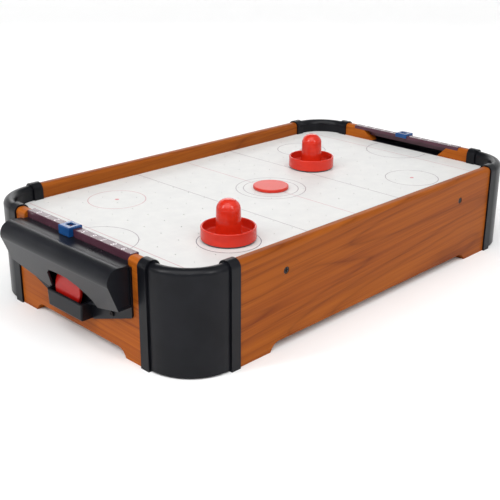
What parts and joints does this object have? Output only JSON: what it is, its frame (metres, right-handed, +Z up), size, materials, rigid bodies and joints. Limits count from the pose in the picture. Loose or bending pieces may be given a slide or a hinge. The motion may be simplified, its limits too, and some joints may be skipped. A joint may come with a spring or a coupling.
{
  "type": "tabletop air hockey",
  "caption": "Tabletop air hockey game with a wood-grain frame, rounded plastic corners, hooded goals with sliding scorers, strikers and pucks.",
  "frame": {"origin": "centre of the bounding box's bottom face, where the rails and corner posts stand", "axes": "+X along the table from one goal to the other, +Y across the field, +Z up"},
  "size_m": [0.5602, 0.308, 0.1233],
  "materials": {
    "woodgrain_vinyl": "satin wood-grain vinyl on board",
    "black_plastic": "satin moulded plastic",
    "white_board": "smooth white coated board",
    "raw_board": "bare wood fibre board",
    "red_plastic": "glossy moulded plastic",
    "puck_plastic": "glossy moulded plastic",
    "felt": "pressed felt",
    "score_bar_plastic": "printed plastic strip",
    "blue_plastic": "glossy moulded plastic",
    "screw_steel": "black oxide steel",
    "grille_plastic": "fine textured plastic",
    "fan_plastic": "plain moulded plastic",
    "motor_steel": "drawn steel can",
    "cell_wrap": "printed cell sleeve",
    "contact_metal": "nickel plated spring steel",
    "rocker_plastic": "glossy moulded plastic",
    "wire_red": "PVC insulation",
    "wire_black": "PVC insulation"
  },
  "bodies": {
    "table": {"back_rail": "woodgrain_vinyl", "batteries": "cell_wrap", "battery_box": "grille_plastic", "battery_contacts": "contact_metal", "battery_door_guides": "grille_plastic", "bottom_panel": "raw_board", "corner_cap_back_left": "black_plastic", "corner_cap_back_right": "black_plastic", "corner_cap_front_left": "black_plastic", "corner_cap_front_right": "black_plastic", "corner_screws": "screw_steel", "fan_housing": "fan_plastic", "fan_motor": "motor_steel", "fan_screws": "screw_steel", "front_rail": "woodgrain_vinyl", "goal_hood_left": "black_plastic", "goal_hood_right": "black_plastic", "goal_scoop_left": "black_plastic", "goal_scoop_right": "black_plastic", "goal_screws_left": "screw_steel", "goal_screws_right": "screw_steel", "intake_grille": "grille_plastic", "left_end_rail": "woodgrain_vinyl", "lower_cleat_back": "raw_board", "lower_cleat_front": "raw_board", "lower_cleat_left": "raw_board", "lower_cleat_right": "raw_board", "motor_mount": "fan_plastic", "panel_screws": "screw_steel", "playfield": "white_board", "rail_screws": "screw_steel", "right_end_rail": "woodgrain_vinyl", "score_bar_left": "score_bar_plastic", "score_bar_right": "score_bar_plastic", "switch_body": "grille_plastic", "upper_cleat_back": "raw_board", "upper_cleat_front": "raw_board", "upper_cleat_left": "raw_board", "upper_cleat_right": "raw_board", "wire_battery_motor": "wire_black", "wire_battery_switch": "wire_red", "wire_switch_motor": "wire_red"},
    "left_striker": {"striker_left": "red_plastic", "striker_felt_left": "felt"},
    "right_striker": {"striker_right": "red_plastic", "striker_felt_right": "felt"},
    "center_puck": {"puck_center": "puck_plastic"},
    "goal_puck": {"puck_goal": "puck_plastic"},
    "left_slider": {"score_slider_left": "blue_plastic"},
    "right_slider": {"score_slider_right": "blue_plastic"},
    "rotor": {"impeller": "fan_plastic", "motor_shaft": "motor_steel"},
    "door": {"battery_door": "grille_plastic"},
    "rocker": {"switch_rocker": "rocker_plastic"}
  },
  "joints": [
    {"name": "left_striker_glide", "type": "slide", "parent": "table", "child": "left_striker", "axis": [0, 1, 0], "range_m": [-0.033, 0.194]},
    {"name": "right_striker_glide", "type": "slide", "parent": "table", "child": "right_striker", "axis": [0, 1, 0], "range_m": [-0.138, 0.089]},
    {"name": "center_puck_glide", "type": "slide", "parent": "table", "child": "center_puck", "axis": [0, 1, 0], "range_m": [-0.12, 0.12]},
    {"name": "goal_puck_lift", "type": "slide", "parent": "table", "child": "goal_puck", "axis": [0, 0, 1], "range_m": [0, 0.02]},
    {"name": "left_score_slide", "type": "slide", "parent": "table", "child": "left_slider", "axis": [0, 1, 0], "range_m": [-0.081, 0.057]},
    {"name": "right_score_slide", "type": "slide", "parent": "table", "child": "right_slider", "axis": [0, 1, 0], "range_m": [-0.072, 0.066]},
    {"name": "impeller_spin", "type": "hinge", "parent": "table", "child": "rotor", "pos_m": [0, 0, 0.0375], "axis": [0, 0, 1], "continuous": true},
    {"name": "battery_door_slide", "type": "slide", "parent": "table", "child": "door", "axis": [1, 0, 0], "range_m": [0, 0.012]},
    {"name": "power_switch_rock", "type": "hinge", "parent": "table", "child": "rocker", "pos_m": [0.12, -0.07, 0.027], "axis": [0, 1, 0], "range_deg": [0, 18]}
  ]
}
